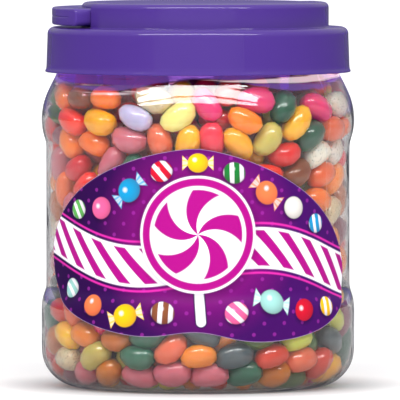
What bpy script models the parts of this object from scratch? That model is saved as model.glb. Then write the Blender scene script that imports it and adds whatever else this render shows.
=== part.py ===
"""A wide-mouth clear plastic jar of jelly beans, with a screw lid and a folding carry handle.

Metres, +Z up, the front of the jar facing -Y. The origin is on the jar's axis, on the surface
that it stands on.
"""

import math
import random

import bmesh
import bpy
from mathutils import Matrix, Vector

# Driving dimensions of the jar
WALL = 0.0010
BULGE_RADIUS = 0.0690
WAIST_RADIUS = 0.0669
NECK_RADIUS = 0.0619
BASE_CORNER_RADIUS = 0.0168
FOOT_INNER_RADIUS = 0.0455
PUSH_UP = 0.0055
LOWER_BULGE_TOP = 0.0436
LOWER_ROUNDING = 0.0088
UPPER_BULGE_BOTTOM = 0.1078
UPPER_BULGE_WIDEST = 0.1179
SHOULDER_ARC_RADIUS = 0.0287
SHOULDER_ARC_HEIGHT = 0.0119
SHOULDER_TOP = 0.1388
RIM_HEIGHT = 0.1565

# Driving dimensions of the lid
SKIRT_BOTTOM = 0.1389
SKIRT_RADIUS = 0.0668
SKIRT_INSIDE_RADIUS = 0.0650
SKIRT_TAPER = 0.0005
LIP_RADIUS = 0.0674
LIP_HEIGHT = 0.0012
LID_TOP = 0.1588
LID_UNDERSIDE = 0.1569
LID_CORNER_RADIUS = 0.0030
BOSS_TOP = 0.1697
BOSS_WIDE_RADIUS = 0.0577
BOSS_INNER_RADIUS = 0.0513
BOSS_CORNER_RADIUS = 0.0023

# Driving dimensions of the carry handle
PIVOT_TURN = math.radians(-148.8)
PIVOT_HEIGHT = 0.16365
HANDLE_INNER_RADIUS = 0.0523
HANDLE_OUTER_RADIUS = 0.0644
HANDLE_HEIGHT = 0.0077
HANDLE_EDGE_RADIUS = 0.0012
HANDLE_GROOVE = 0.0004
HUB_RADIUS = 0.0041
HUB_PROUD = 0.0003
POCKET_CLEARANCE = 0.00065
PIN_RADIUS = 0.0020
PIN_END = 0.0580
BORE_RADIUS = 0.0023
BORE_END = 0.0590

# Driving dimensions of the label
LABEL_THICKNESS = 0.0003
LABEL_GAP = 0.0004
LABEL_HALF_WIDTH = 0.0828
LABEL_MIDDLE = 0.0580
LABEL_RISE = 0.0493
LABEL_DROP = 0.0350
LABEL_RISE_POWER = 1.55
LABEL_DROP_POWER = 2.4
LABEL_DIMPLE = 0.0045
LABEL_DIMPLE_WIDTH = 0.0170
LABEL_TILT = 0.048

# Driving dimensions of the jelly beans
BEAN_LENGTH = 0.0162
BEAN_WIDTH = 0.0104
BEAN_THICKNESS = 0.0096
BEAN_BEND = 0.0011
BEAN_SIDES = 5
BEAN_SIZE_SPREAD = 0.06
BEAN_WALL_GAP = 0.0005
HEAP_EDGE_HEIGHT = 0.1255
HEAP_MIDDLE_HEIGHT = 0.1330
CORE_INSET = 0.0062
ROW_PITCH = 0.0136
BEAN_PITCH = 0.0194
SEED = 36

ROUND_STEPS = 40
MERGE = 0.00001


def clear_scene():
    for obj in list(bpy.data.objects):
        bpy.data.objects.remove(obj, do_unlink=True)


def material(name, colour, roughness, metallic=0.0, alpha=1.0, transmission=0.0):
    made = bpy.data.materials.new(name)
    made.use_nodes = True
    shader = made.node_tree.nodes["Principled BSDF"]
    shader.inputs["Base Color"].default_value = (*colour, 1.0)
    shader.inputs["Roughness"].default_value = roughness
    shader.inputs["Metallic"].default_value = metallic
    shader.inputs["Alpha"].default_value = alpha
    shader.inputs["Transmission Weight"].default_value = transmission
    return made


def link(obj):
    bpy.context.scene.collection.objects.link(obj)
    return obj


def finish_mesh(bm, name, finish=None, smooth_angle=math.radians(35)):
    """Turns a bmesh into an object with outward faces, shaded smooth between sharp edges."""
    bmesh.ops.remove_doubles(bm, verts=bm.verts, dist=MERGE)
    bmesh.ops.recalc_face_normals(bm, faces=bm.faces)
    mesh = bpy.data.meshes.new(name)
    bm.to_mesh(mesh)
    bm.free()
    mesh.shade_smooth()
    mesh.set_sharp_from_angle(angle=smooth_angle)
    if finish is not None:
        mesh.materials.append(finish)
    return link(bpy.data.objects.new(name, mesh))


def lathe(profile, steps=ROUND_STEPS, turn=math.tau, axis=(0, 0, 1), centre=(0, 0, 0)):
    """A bmesh of the (radius, height) profile turned about the vertical axis."""
    bm = bmesh.new()
    verts = [bm.verts.new((radius, 0, height)) for radius, height in profile]
    edges = [bm.edges.new(pair) for pair in zip(verts, verts[1:] + verts[:1])]
    bmesh.ops.spin(
        bm, geom=verts + edges, cent=centre, axis=axis, angle=turn, steps=steps,
        use_merge=turn >= math.tau,
    )
    return bm


def arc(centre, radius, start_deg, end_deg, steps):
    """Points of a circular arc in the (radius, height) plane, ends included."""
    points = []
    for i in range(steps + 1):
        angle = math.radians(start_deg + (end_deg - start_deg) * i / steps)
        points.append((centre[0] + radius * math.cos(angle), centre[1] + radius * math.sin(angle)))
    return points


def boolean(target, tool, operation):
    """Applies one Boolean and removes the tool."""
    modifier = target.modifiers.new(operation.lower(), "BOOLEAN")
    modifier.operation = operation
    modifier.solver = "EXACT"
    modifier.object = tool
    graph = bpy.context.evaluated_depsgraph_get()
    mesh = bpy.data.meshes.new_from_object(target.evaluated_get(graph))
    target.modifiers.clear()
    target.data = mesh
    bpy.data.objects.remove(tool, do_unlink=True)
    return target


def lower_bulge_rounding(steps):
    """The quarter-soft top of the lower bulge, from its full radius up to the crease."""
    step_in = BULGE_RADIUS - WAIST_RADIUS
    radius = (LOWER_ROUNDING**2 + step_in**2) / (2 * step_in)
    end = math.degrees(math.asin(LOWER_ROUNDING / radius))
    centre = (BULGE_RADIUS - radius, LOWER_BULGE_TOP - LOWER_ROUNDING)
    return arc(centre, radius, 0, end, steps)


def upper_bulge_underside(steps):
    """From the upper crease out and up to the widest point of the upper bulge."""
    rise = UPPER_BULGE_WIDEST - UPPER_BULGE_BOTTOM
    step_out = BULGE_RADIUS - WAIST_RADIUS
    radius = (rise**2 + step_out**2) / (2 * step_out)
    start = -math.degrees(math.asin(rise / radius))
    centre = (BULGE_RADIUS - radius, UPPER_BULGE_WIDEST)
    return arc(centre, radius, start, 0, steps)


def shoulder(steps):
    """From the widest point of the upper bulge over its arc and up the cone to the neck."""
    end = math.degrees(math.asin(SHOULDER_ARC_HEIGHT / SHOULDER_ARC_RADIUS))
    centre = (BULGE_RADIUS - SHOULDER_ARC_RADIUS, UPPER_BULGE_WIDEST)
    points = arc(centre, SHOULDER_ARC_RADIUS, 0, end, steps)
    return points[1:] + [(NECK_RADIUS, SHOULDER_TOP)]


def jar_outline():
    """The jar's outer profile as (radius, height), from the middle of the base to the rim."""
    corner_centre = (BULGE_RADIUS - BASE_CORNER_RADIUS, BASE_CORNER_RADIUS)
    push_up_dome = [
        (0.0, PUSH_UP),
        (FOOT_INNER_RADIUS * 0.62, PUSH_UP * 0.94),
        (FOOT_INNER_RADIUS * 0.88, PUSH_UP * 0.55),
        (FOOT_INNER_RADIUS, 0.0),
    ]
    corner = arc(corner_centre, BASE_CORNER_RADIUS, -90, 0, 5)
    rim = [(NECK_RADIUS, RIM_HEIGHT)]
    return (
        push_up_dome + corner + lower_bulge_rounding(2)
        + upper_bulge_underside(2) + shoulder(2) + rim
    )


def offset_inwards(profile, distance):
    """The profile moved towards the inside of the jar by distance, measured square to it."""
    moved = []
    for i, (radius, height) in enumerate(profile):
        before = Vector(profile[max(i - 1, 0)])
        after = Vector(profile[min(i + 1, len(profile) - 1)])
        along = (after - before).normalized()
        inward = Vector((-along.y, along.x))
        if radius <= 0.0:
            inward = Vector((0.0, 1.0))
        moved.append((max(radius + inward.x * distance, 0.0), height + inward.y * distance))
    return moved


def radius_at(profile, height):
    """The largest radius that the profile has at that height."""
    found = 0.0
    for (r0, z0), (r1, z1) in zip(profile, profile[1:]):
        if min(z0, z1) <= height <= max(z0, z1) and z1 != z0:
            found = max(found, r0 + (r1 - r0) * (height - z0) / (z1 - z0))
    return found


def make_jar(finish):
    outside = jar_outline()
    inside = offset_inwards(outside, WALL)
    return finish_mesh(lathe(outside + inside[::-1]), "jar", finish)


def boss_ring(inset, height):
    """One level of the lid's raised top: a disc with a wider half ring on the side away from
    the handle. The pivot line is the local X axis and the wide half is at +Y."""
    wide = BOSS_WIDE_RADIUS - inset
    narrow = BOSS_INNER_RADIUS - inset
    cut = HANDLE_HEIGHT / 2 + POCKET_CLEARANCE + inset
    wide_start = math.asin(cut / wide)
    narrow_start = math.asin(cut / narrow)
    wide_steps, narrow_steps = 16, 18
    points = []
    for i in range(wide_steps + 1):
        angle = wide_start + (math.pi - 2 * wide_start) * i / wide_steps
        points.append((wide * math.cos(angle), wide * math.sin(angle), height))
    for i in range(narrow_steps + 1):
        angle = math.pi - narrow_start + (math.pi + 2 * narrow_start) * i / narrow_steps
        points.append((narrow * math.cos(angle), narrow * math.sin(angle), height))
    return points


def make_boss():
    bm = bmesh.new()
    levels = [(0.0, LID_TOP - 0.0008)]
    corner_steps = 3
    for i in range(corner_steps + 1):
        angle = math.pi / 2 * i / corner_steps
        inset = BOSS_CORNER_RADIUS * (1 - math.cos(angle))
        levels.append((inset, BOSS_TOP - BOSS_CORNER_RADIUS * (1 - math.sin(angle))))
    rings = [[bm.verts.new(p) for p in boss_ring(*level)] for level in levels]
    count = len(rings[0])
    for low, high in zip(rings, rings[1:]):
        for i in range(count):
            bm.faces.new((low[i], low[(i + 1) % count], high[(i + 1) % count], high[i]))
    bm.faces.new(rings[0][::-1])
    bm.faces.new(rings[-1])
    bmesh.ops.rotate(bm, verts=bm.verts, matrix=Matrix.Rotation(PIVOT_TURN, 3, "Z"))
    return finish_mesh(bm, "boss")


def along_pivot(profile, steps):
    """Two solids of the (radius, distance) profile turned about the pivot line, one at each
    side of the lid."""
    made = []
    for side in (1, -1):
        bm = lathe(profile, steps)
        turn = Matrix.Rotation(side * math.pi / 2, 3, "Y")
        bmesh.ops.rotate(bm, verts=bm.verts, matrix=Matrix.Rotation(PIVOT_TURN, 3, "Z") @ turn)
        bmesh.ops.translate(bm, verts=bm.verts, vec=(0, 0, PIVOT_HEIGHT))
        made.append(finish_mesh(bm, "turned"))
    return made


def rods(radius, start, end):
    return along_pivot([(0.0, start), (radius, start), (radius, end), (0.0, end)], 12)


def make_lid(finish):
    shoulder_radius = SKIRT_RADIUS - SKIRT_TAPER
    corner_centre = (shoulder_radius - LID_CORNER_RADIUS, LID_TOP - LID_CORNER_RADIUS)
    profile = [
        (0.0, LID_UNDERSIDE),
        (SKIRT_INSIDE_RADIUS, LID_UNDERSIDE),
        (SKIRT_INSIDE_RADIUS, SKIRT_BOTTOM),
        (LIP_RADIUS - 0.0003, SKIRT_BOTTOM),
        (LIP_RADIUS, SKIRT_BOTTOM + 0.0003),
        (LIP_RADIUS, SKIRT_BOTTOM + 0.7 * LIP_HEIGHT),
        (SKIRT_RADIUS, SKIRT_BOTTOM + 1.5 * LIP_HEIGHT),
    ]
    profile += arc(corner_centre, LID_CORNER_RADIUS, 0, 90, 4)
    profile.append((0.0, LID_TOP))
    lid = finish_mesh(lathe(profile), "lid", finish)
    boolean(lid, make_boss(), "UNION")
    for pin in rods(PIN_RADIUS, BOSS_INNER_RADIUS - 0.0015, PIN_END):
        boolean(lid, pin, "UNION")
    return lid


def handle_section():
    """The handle's cross-section as (radius, height), anticlockwise, with rounded edges and a
    fine parting groove half way up its outer face."""
    low, high = PIVOT_HEIGHT - HANDLE_HEIGHT / 2, PIVOT_HEIGHT + HANDLE_HEIGHT / 2
    edge = HANDLE_EDGE_RADIUS
    inner, outer = HANDLE_INNER_RADIUS, HANDLE_OUTER_RADIUS
    points = arc((inner + edge, low + edge), edge, 180, 270, 2)
    points += arc((outer - edge, low + edge), edge, 270, 360, 2)
    points += [
        (outer, PIVOT_HEIGHT - HANDLE_GROOVE),
        (outer - HANDLE_GROOVE, PIVOT_HEIGHT),
        (outer, PIVOT_HEIGHT + HANDLE_GROOVE),
    ]
    points += arc((outer - edge, high - edge), edge, 0, 90, 2)
    points += arc((inner + edge, high - edge), edge, 90, 180, 2)
    return points


def make_hubs():
    """The two round ends of the handle, each turned about the pivot line."""
    near, far = HANDLE_INNER_RADIUS - HUB_PROUD, HANDLE_OUTER_RADIUS + HUB_PROUD
    edge = HANDLE_EDGE_RADIUS
    profile = [(0.0, near), (HUB_RADIUS - edge, near), (HUB_RADIUS, near + edge)]
    profile += [(HUB_RADIUS, far - edge), (HUB_RADIUS - 0.3 * edge, far - 0.3 * edge)]
    profile += [(HUB_RADIUS - edge, far), (0.0, far)]
    return along_pivot(profile, 12)


def make_handle(finish):
    """A half ring that folds down round the boss, on the side where the boss is narrow."""
    half_turn_steps = 16
    bm = lathe(handle_section(), half_turn_steps, turn=math.pi)
    bmesh.ops.remove_doubles(bm, verts=bm.verts, dist=MERGE)
    bmesh.ops.holes_fill(bm, edges=[edge for edge in bm.edges if edge.is_boundary])
    turn = PIVOT_TURN + math.pi
    bmesh.ops.rotate(bm, verts=bm.verts, matrix=Matrix.Rotation(turn, 3, "Z"))
    handle = finish_mesh(bm, "handle", finish)
    for hub in make_hubs():
        boolean(handle, hub, "UNION")
    for bore in rods(BORE_RADIUS, HANDLE_INNER_RADIUS - 0.0015, BORE_END):
        boolean(handle, bore, "DIFFERENCE")
    return handle


def label_span(along):
    """The label's lowest and highest point at a distance along from its middle."""
    share = min(abs(along) / LABEL_HALF_WIDTH, 1.0)
    rise = LABEL_RISE * (1 - share**LABEL_RISE_POWER) ** (1 / LABEL_RISE_POWER)
    drop = LABEL_DROP * (1 - share**LABEL_DROP_POWER) ** (1 / LABEL_DROP_POWER)
    dimple = LABEL_DIMPLE * math.exp(-((along / LABEL_DIMPLE_WIDTH) ** 2))
    middle = LABEL_MIDDLE - LABEL_TILT * along
    return middle - drop + dimple, middle + rise


def make_label(finish):
    """A thin film wrapped round the front of the jar, from the upper crease down over the
    lower bulge. Its outline is a broad bean lying on its side."""
    columns, rows = 24, 13
    outline = jar_outline()
    bm = bmesh.new()
    layers = []
    for lift in (LABEL_GAP, LABEL_GAP + LABEL_THICKNESS):
        grid = []
        for i in range(columns + 1):
            share = 1.98 * i / columns - 0.99
            along = LABEL_HALF_WIDTH * (0.55 * share + 0.45 * math.sin(share * math.pi / 2))
            low, high = label_span(along)
            column = []
            for j in range(rows + 1):
                height = low + (high - low) * j / rows
                radius = radius_at(outline, height) + lift
                angle = along / WAIST_RADIUS
                column.append(bm.verts.new((radius * math.sin(angle), -radius * math.cos(angle), height)))
            grid.append(column)
        layers.append(grid)
    inner, outer = layers
    for grid in layers:
        for i in range(columns):
            for j in range(rows):
                bm.faces.new((grid[i][j], grid[i + 1][j], grid[i + 1][j + 1], grid[i][j + 1]))
    for i in range(columns):
        for j in (0, rows):
            bm.faces.new((inner[i][j], inner[i + 1][j], outer[i + 1][j], outer[i][j]))
    for j in range(rows):
        for i in (0, columns):
            bm.faces.new((inner[i][j], inner[i][j + 1], outer[i][j + 1], outer[i][j]))
    return finish_mesh(bm, "label", finish)


def bean_points(size):
    """A jelly bean about the origin, long in X and bent a little in Y: two tips and two rings."""
    half, wide, thick = BEAN_LENGTH / 2 * size, BEAN_WIDTH / 2 * size, BEAN_THICKNESS / 2 * size
    ring_station = 0.52
    ring_fill = 1.0
    points = [(-half, -BEAN_BEND, 0.0)]
    for station in (-ring_station, ring_station):
        for k in range(BEAN_SIDES):
            angle = math.tau * k / BEAN_SIDES
            y = wide * ring_fill * math.cos(angle) - BEAN_BEND * station**2
            points.append((half * station, y, thick * ring_fill * math.sin(angle)))
    points.append((half, -BEAN_BEND, 0.0))
    return [Vector(p) for p in points]


def bean_faces():
    last = 2 * BEAN_SIDES + 1
    faces = []
    for k in range(BEAN_SIDES):
        after = (k + 1) % BEAN_SIDES
        first, second = 1 + k, 1 + after
        third, fourth = first + BEAN_SIDES, second + BEAN_SIDES
        faces += [(0, second, first), (first, second, fourth, third), (third, fourth, last)]
    return faces


def add_bean(name, points, collection):
    bm = bmesh.new()
    verts = [bm.verts.new(p) for p in points]
    for face in bean_faces():
        bm.faces.new([verts[i] for i in face])
    bmesh.ops.recalc_face_normals(bm, faces=bm.faces)
    mesh = bpy.data.meshes.new(name)
    bm.to_mesh(mesh)
    bm.free()
    collection.objects.link(bpy.data.objects.new(name, mesh))


def heap_height(radius):
    """The height of the heap's top at a distance from the jar's axis: a low mound."""
    share = min(radius / WAIST_RADIUS, 1.0)
    return HEAP_EDGE_HEIGHT + (HEAP_MIDDLE_HEIGHT - HEAP_EDGE_HEIGHT) * (1 - share**2)


def clear_of_wall(point, inside):
    """Whether a point is in the jar's hollow and BEAN_WALL_GAP or more from its wall."""
    place = Vector((math.hypot(point.x, point.y), point.z))
    crossings = 0
    for (r0, z0), (r1, z1) in zip(inside, inside[1:]):
        start, along = Vector((r0, z0)), Vector((r1 - r0, z1 - z0))
        share = min(max((place - start).dot(along) / max(along.length_squared, 1e-12), 0.0), 1.0)
        if (start + along * share - place).length < BEAN_WALL_GAP:
            return False
        if (z0 > place.y) != (z1 > place.y):
            crossings += r0 + along.x * (place.y - z0) / along.y > place.x
    return crossings % 2 == 1


def against_wall(points, height, inside):
    """Moves a bean from outside the jar along +Y until all its points are clear of the wall.
    One that would come through the floor is raised first."""
    lowest = min(p.z for p in points)
    raised = max(height, WALL + 2 * BEAN_WALL_GAP - lowest)
    reach, step = BULGE_RADIUS, 0.00025
    while reach > 0.040:
        moved = [p + Vector((0, -reach, raised)) for p in points]
        if all(clear_of_wall(p, inside) for p in moved):
            return moved
        reach -= step
    return None


def wall_beans(rng, inside):
    """Beans standing against the wall in rows, each moved in until it just clears it."""
    rows = round((HEAP_EDGE_HEIGHT - 1.4 * BEAN_WIDTH) / ROW_PITCH)
    count = round(math.tau * WAIST_RADIUS * 0.92 / BEAN_PITCH)
    for row in range(rows + 1):
        height = BEAN_WIDTH * 0.75 + row * (HEAP_EDGE_HEIGHT - 1.4 * BEAN_WIDTH) / rows
        for k in range(count):
            turn = math.tau * (k + 0.5 * (row % 2) + rng.uniform(-0.12, 0.12)) / count
            size = 1 + rng.uniform(-BEAN_SIZE_SPREAD, BEAN_SIZE_SPREAD)
            pose = Matrix.Rotation(rng.gauss(0.0, 0.7), 3, "Y") @ Matrix.Rotation(rng.gauss(0.0, 0.2), 3, "Z")
            pose = pose @ Matrix.Rotation(rng.uniform(0, math.tau), 3, "X")
            points = [pose @ p for p in bean_points(size)]
            placed = against_wall(points, height + rng.uniform(-0.0012, 0.0012), inside)
            if placed is not None:
                spin = Matrix.Rotation(turn, 3, "Z")
                yield [spin @ p for p in placed]


def top_beans(rng):
    """Beans lying on the mound, on rings about the axis."""
    for ring, (radius, count) in enumerate(((0.0, 1), (0.0180, 6), (0.0345, 11), (0.0500, 14))):
        for k in range(count):
            turn = math.tau * (k + 0.37 * ring + rng.uniform(-0.1, 0.1)) / count
            size = 1 + rng.uniform(-BEAN_SIZE_SPREAD, BEAN_SIZE_SPREAD)
            pose = Matrix.Rotation(rng.uniform(0, math.tau), 3, "Z") @ Matrix.Rotation(rng.gauss(0, 0.3), 3, "Y")
            pose = pose @ Matrix.Rotation(rng.uniform(0, math.tau), 3, "X")
            place = Vector((radius * math.sin(turn), radius * math.cos(turn), heap_height(radius)))
            yield [pose @ p + place for p in bean_points(size)]


def base_beans(rng):
    """Beans lying on the jar's floor, which show through the base."""
    floor = PUSH_UP + WALL + BEAN_THICKNESS * 0.5 + BEAN_WALL_GAP
    for ring, (radius, count) in enumerate(((0.0, 1), (0.0200, 5))):
        for k in range(count):
            turn = math.tau * (k + 0.41 * ring) / count
            pose = Matrix.Rotation(rng.uniform(0, math.tau), 3, "Z")
            place = Vector((radius * math.sin(turn), radius * math.cos(turn), floor))
            yield [pose @ p + place for p in bean_points(1.0)]


def make_heap_core(inside, finish):
    """The plain body of the heap, inset from the jar's inner wall and domed on top."""
    heights = [0.0175, 0.045, 0.075, 0.105]
    profile = [(0.0, PUSH_UP + WALL + CORE_INSET * 0.6), (0.044, 0.0072)]
    profile += [(radius_at(inside, z) - CORE_INSET, z) for z in heights]
    profile += [
        (radius_at(inside, z) - CORE_INSET, z) for z in (HEAP_EDGE_HEIGHT - 0.0035,)
    ]
    profile += [(r, heap_height(r) - 0.0015) for r in (0.050, 0.028)]
    profile.append((0.0, heap_height(0.0) - 0.0015))
    return finish_mesh(lathe(profile, 24), "jelly_beans", finish)


def keep_outer_body(obj):
    """Keeps the largest closed shell of the mesh: sealed hollows are filled by dropping their
    walls, and loose scraps are dropped."""
    bm = bmesh.new()
    bm.from_mesh(obj.data)
    bmesh.ops.remove_doubles(bm, verts=bm.verts, dist=MERGE)
    bmesh.ops.triangulate(bm, faces=bm.faces)
    unseen = set(bm.faces)
    shells = []
    while unseen:
        shell, edge_of = [], [unseen.pop()]
        while edge_of:
            face = edge_of.pop()
            shell.append(face)
            for edge in face.edges:
                for other in edge.link_faces:
                    if other in unseen:
                        unseen.remove(other)
                        edge_of.append(other)
        shells.append(shell)
    shells.sort(key=len, reverse=True)
    for shell in shells[1:]:
        bmesh.ops.delete(bm, geom=shell, context="FACES")
    bm.to_mesh(obj.data)
    bm.free()


def make_jelly_beans(finish):
    """The heap that fills the jar: a core with the beans that show at the wall, on top and
    underneath joined to it."""
    inside = offset_inwards(jar_outline(), WALL)
    rng = random.Random(SEED)
    loose = bpy.data.collections.new("loose_beans")
    bpy.context.scene.collection.children.link(loose)
    for make in (wall_beans(rng, inside), top_beans(rng), base_beans(rng)):
        for points in make:
            add_bean("bean", points, loose)
    heap = make_heap_core(inside, finish)
    union = heap.modifiers.new("join_beans", "BOOLEAN")
    union.operation = "UNION"
    union.solver = "EXACT"
    union.operand_type = "COLLECTION"
    union.collection = loose
    graph = bpy.context.evaluated_depsgraph_get()
    joined = bpy.data.meshes.new_from_object(heap.evaluated_get(graph))
    heap.modifiers.clear()
    heap.data = joined
    for obj in list(loose.objects):
        bpy.data.objects.remove(obj, do_unlink=True)
    bpy.data.collections.remove(loose)
    keep_outer_body(heap)
    return heap


def main():
    clear_scene()
    make_jar(material("clear_plastic", (0.93, 0.95, 0.94), 0.05, alpha=0.35, transmission=1.0))
    make_lid(material("lid_plastic", (0.115, 0.050, 0.330), 0.32))
    make_handle(material("handle_plastic", (0.125, 0.058, 0.345), 0.34))
    make_label(material("label_film", (0.075, 0.012, 0.180), 0.30))
    make_jelly_beans(material("jelly_bean", (0.800, 0.150, 0.060), 0.25))


main()
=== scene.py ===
"""The looks of a jar of jelly beans: a clear plastic jar with a wrap label, a purple screw lid
with a folding carry handle, and a heap of loose jelly beans inside."""

import math

import bmesh
import bpy
import numpy as np
from mathutils import Matrix, Vector


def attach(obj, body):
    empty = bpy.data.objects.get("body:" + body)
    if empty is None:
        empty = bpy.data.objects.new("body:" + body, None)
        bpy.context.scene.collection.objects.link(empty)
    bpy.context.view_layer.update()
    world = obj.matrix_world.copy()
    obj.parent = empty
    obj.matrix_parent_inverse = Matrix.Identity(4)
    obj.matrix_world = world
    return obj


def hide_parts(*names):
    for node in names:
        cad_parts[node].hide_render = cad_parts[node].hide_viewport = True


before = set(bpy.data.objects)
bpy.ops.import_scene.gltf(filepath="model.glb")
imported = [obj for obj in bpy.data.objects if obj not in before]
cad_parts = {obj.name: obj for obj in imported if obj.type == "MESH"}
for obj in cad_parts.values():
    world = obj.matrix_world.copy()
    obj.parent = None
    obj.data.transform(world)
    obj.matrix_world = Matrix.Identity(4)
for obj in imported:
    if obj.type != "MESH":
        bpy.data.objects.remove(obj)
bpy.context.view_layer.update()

# The room. A pale seamless floor in plain soft studio light: a soft surround that is brightest
# overhead, a long strip box high in front that draws the bright arc on the jar's shoulder, and
# a broad low panel farther off that lights the front evenly.
room = bpy.context.scene
room.view_settings.view_transform = "Standard"
room.cycles.caustics_reflective = False
room.cycles.caustics_refractive = False
room.cycles.sample_clamp_indirect = 0.0
room.cycles.transparent_max_bounces = 24
room.cycles.transmission_bounces = 16
room.cycles.max_bounces = 16

view_rise = math.radians(2.5)
view_distance = 4.0
view_width = 0.1766
aim = Vector((0.0009, 0.0, 0.0822))
camera_data = bpy.data.cameras.new("camera")
camera_data.sensor_width = 36.0
camera_data.lens = 36.0 * view_distance / view_width
camera_data.clip_end = 60.0
camera = bpy.data.objects.new("camera", camera_data)
camera.location = aim + view_distance * Vector((0.0, -math.cos(view_rise), math.sin(view_rise)))
camera.rotation_euler = (math.pi / 2 - view_rise, 0.0, 0.0)
room.collection.objects.link(camera)
room.camera = camera


def feed(tree, socket, value):
    """Links value to the socket where value is another socket, and sets it otherwise."""
    if isinstance(value, bpy.types.NodeSocket):
        tree.links.new(value, socket)
    else:
        socket.default_value = value


def set_inputs(tree, node, inputs):
    """Sets or links each named input of the node."""
    for name, value in inputs.items():
        feed(tree, node.inputs[name], value)


def add_node(tree, kind, inputs=None, **settings):
    """A node of that kind, with its properties and then its inputs set."""
    node = tree.nodes.new(kind)
    for key, value in settings.items():
        setattr(node, key, value)
    set_inputs(tree, node, inputs or {})
    return node


def split(tree, vector):
    """The sockets of a vector's three axes."""
    return add_node(tree, "ShaderNodeSeparateXYZ", {0: vector}).outputs


def ramp(tree, value, low, high, at_low=0.0, at_high=1.0, curve="SMOOTHSTEP"):
    """Goes from at_low to at_high while value goes from low to high, and stays there outside."""
    inputs = {"Value": value, "From Min": low, "From Max": high}
    inputs |= {"To Min": at_low, "To Max": at_high}
    node = add_node(tree, "ShaderNodeMapRange", inputs, interpolation_type=curve)
    return node.outputs["Result"]


surround = bpy.data.worlds.new("surround")
surround.use_nodes = True
sky_tree = surround.node_tree
sky_height = split(sky_tree, add_node(sky_tree, "ShaderNodeTexCoord").outputs["Generated"])["Z"]
sky_height = ramp(sky_tree, sky_height, -1.0, 1.0, curve="LINEAR")
sky_ramp = add_node(sky_tree, "ShaderNodeValToRGB", {"Fac": sky_height})
sky_colours = sky_ramp.color_ramp.elements
sky_colours[0].position, sky_colours[0].color = 0.45, (0.09, 0.09, 0.11, 1.0)
sky_colours[1].position, sky_colours[1].color = 1.0, (0.98, 0.98, 0.98, 1.0)
horizon = ((0.50, (0.17, 0.17, 0.20)), (0.52, (0.16, 0.13, 0.38)), (0.60, (0.45, 0.45, 0.46)))
for position, colour in horizon:
    sky_colours.new(position).color = (*colour, 1.0)
set_inputs(sky_tree, sky_tree.nodes["Background"], {"Color": sky_ramp.outputs["Color"]})
room.world = surround


def strip_box(name, place, aim_at, size, power):
    """A rectangular soft box at place, turned to face aim_at."""
    data = bpy.data.lights.new(name, "AREA")
    data.shape = "RECTANGLE"
    data.size, data.size_y = size
    data.energy = power
    box = bpy.data.objects.new(name, data)
    box.location = place
    toward = Vector(aim_at) - Vector(place)
    box.rotation_euler = toward.to_track_quat("-Z", "Y").to_euler()
    box.visible_camera = False
    room.collection.objects.link(box)


strip_box("front_strip", (0.0, -0.88, 1.12), (0.0, 0.0, 0.12), (2.2, 0.19), 27.0)
strip_box("front_panel", (0.0, -2.0, 0.25), (0.0, 0.0, 0.08), (2.6, 1.0), 2.7)


def srgb(red, green, blue):
    """A colour given as 0 to 255 screen values, as the linear RGBA that Blender's sockets take."""
    linear = []
    for value in (red, green, blue):
        share = value / 255.0
        linear.append(share / 12.92 if share <= 0.04045 else ((share + 0.055) / 1.055) ** 2.4)
    return (*linear, 1.0)


def new_material(name):
    """A node material, with its tree and its Principled BSDF."""
    made = bpy.data.materials.new(name)
    made.use_nodes = True
    return made, made.node_tree, made.node_tree.nodes["Principled BSDF"]


def maths(tree, operation, *values):
    """The result of a Math node on numbers or sockets."""
    node = add_node(tree, "ShaderNodeMath", dict(enumerate(values)), operation=operation)
    return node.outputs[0]


def blend_colour(tree, factor, first, second):
    """The first colour where factor is 0 and the second where it is 1."""
    inputs = {"Factor": factor, "A": first, "B": second}
    return add_node(tree, "ShaderNodeMix", inputs, data_type="RGBA").outputs["Result"]


def length_of(tree, x, y):
    """The length of the flat vector x, y."""
    squares = maths(tree, "ADD", maths(tree, "MULTIPLY", x, x), maths(tree, "MULTIPLY", y, y))
    return maths(tree, "SQRT", squares)


def object_place(tree):
    """The place on the piece in metres, for patterns in its body."""
    return add_node(tree, "ShaderNodeTexCoord").outputs["Object"]


def noise(tree, place, scale, detail=2.0):
    """A cloudy value about 0.5 that changes with the place."""
    inputs = {"Vector": place, "Scale": scale, "Detail": detail}
    return add_node(tree, "ShaderNodeTexNoise", inputs).outputs["Fac"]
floor_mesh = bpy.data.meshes.new("floor")
floor_form = bmesh.new()
bmesh.ops.create_circle(floor_form, cap_ends=True, segments=96, radius=14.0)
floor_form.to_mesh(floor_mesh)
floor_form.free()
floor = bpy.data.objects.new("floor", floor_mesh)
room.collection.objects.link(floor)
floor_paint, floor_tree, floor_shader = new_material("pale_floor")
floor_place = object_place(floor_tree)
floor_far = length_of(floor_tree, *split(floor_tree, floor_place)[:2])
floor_grain = noise(floor_tree, floor_place, 3.0)
floor_colour = blend_colour(floor_tree, floor_grain, srgb(232, 232, 233), srgb(238, 238, 238))
# Round the jar's foot the floor is painted darker, a painted contact shadow. Its glow, which keeps
# the floor white farther out, is turned down towards the jar as painted shade.
floor_painted_shadow = ramp(floor_tree, floor_far, 0.058, 0.108)
set_inputs(floor_tree, floor_shader, {
    "Base Color": blend_colour(floor_tree, floor_painted_shadow, srgb(176, 176, 178), floor_colour),
    "Roughness": 0.75,
    "Specular IOR Level": 0.2,
    "Emission Color": ramp(floor_tree, floor_far, 0.1, 2.0, 0.22, 1.0),
    "Emission Strength": 0.55,
})
floor.visible_glossy = False
floor_mesh.materials.append(floor_paint)


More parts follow.
